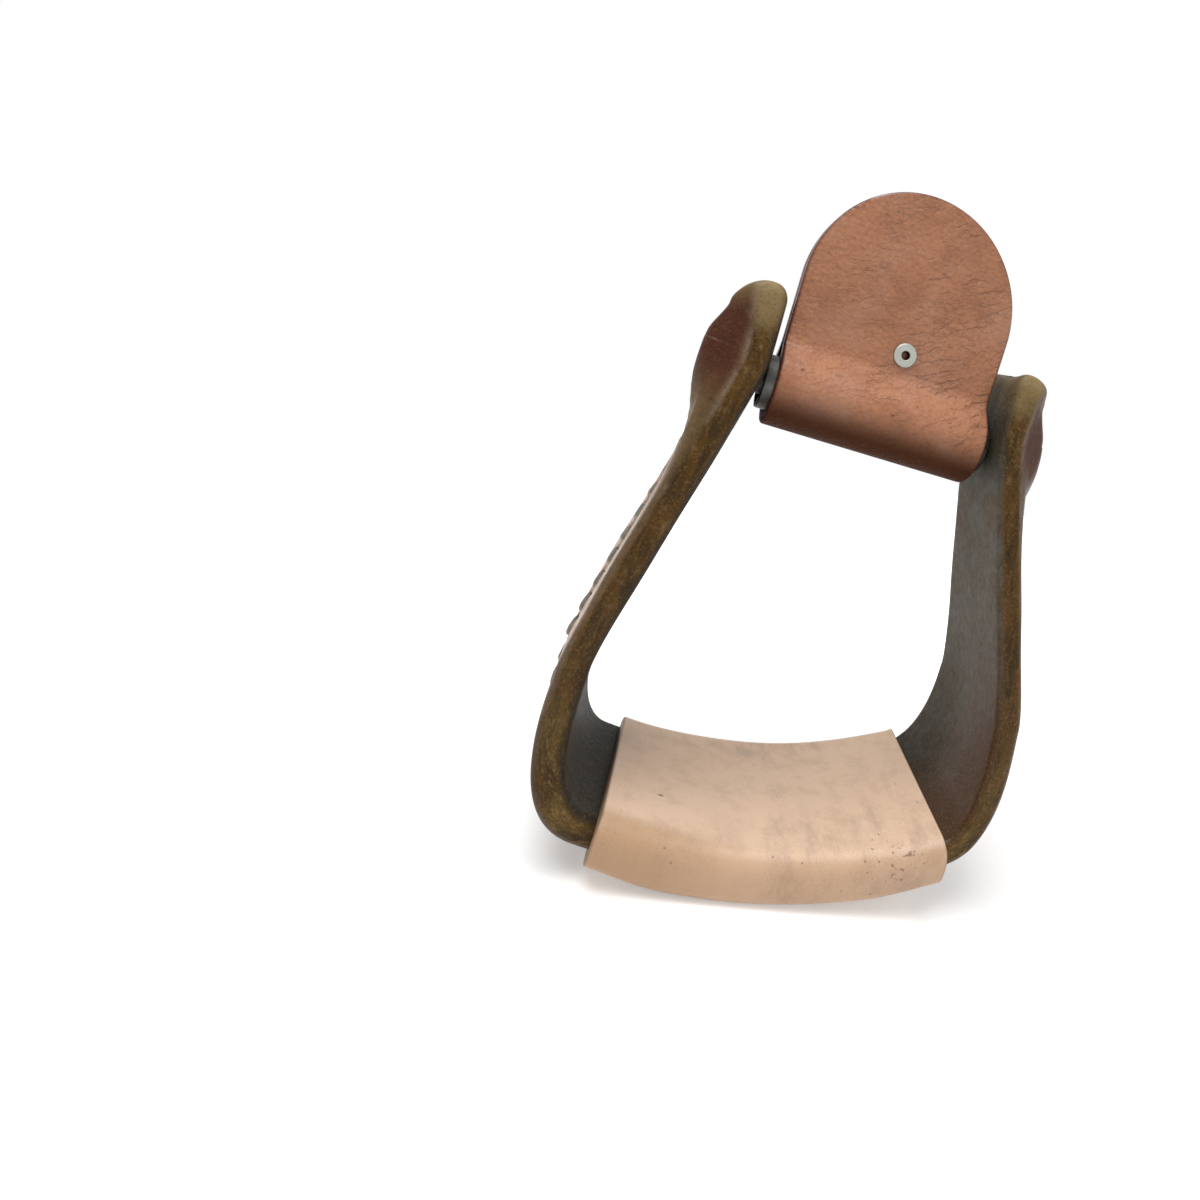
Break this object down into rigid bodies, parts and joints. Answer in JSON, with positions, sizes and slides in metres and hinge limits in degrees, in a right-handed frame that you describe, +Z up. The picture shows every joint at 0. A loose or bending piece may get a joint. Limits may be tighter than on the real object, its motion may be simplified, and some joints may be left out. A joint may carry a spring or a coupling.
{
  "type": "roper stirrup",
  "caption": "Western roper stirrup: bent wood bow under laced rawhide, leather tread cover, and a bolt with a leather-wrapped roller whose riveted tab stands up.",
  "frame": {"origin": "on the ground under the middle of the tread, in the plane that halves the stirrup front to back", "axes": "+Z up towards the tab, X along the roller, -Y towards the front, where the rivet's head shows"},
  "size_m": [0.1654, 0.0836, 0.2441],
  "materials": {
    "wood": "bare bent hardwood, hidden under the rawhide",
    "rawhide": "varnished rawhide, glossy olive brown with orange-brown patches",
    "thong": "dry grey suede thong",
    "tread_leather": "thick vegetable-tanned leather, pale and scuffed",
    "russet_leather": "oiled russet harness leather with dark edges",
    "steel": "dull galvanised",
    "aluminium": "bright, slightly worn"
  },
  "bodies": {
    "frame": {"wood_core": "wood", "rawhide_cover": "rawhide", "left_lacing": "thong", "right_lacing": "thong", "tread_cover": "tread_leather", "tread_tie_left": "tread_leather", "tread_tie_right": "tread_leather", "stirrup_bolt": "steel", "bolt_washer": "steel", "bolt_nut": "steel"},
    "roller": {"roller_tube": "steel", "roller_leather": "russet_leather", "tab_rivet": "aluminium", "rivet_washer": "aluminium"}
  },
  "joints": [
    {"name": "roller_hinge", "type": "hinge", "parent": "frame", "child": "roller", "pos_m": [0, 0, 0.16612], "axis": [1, 0, 0], "continuous": true}
  ]
}
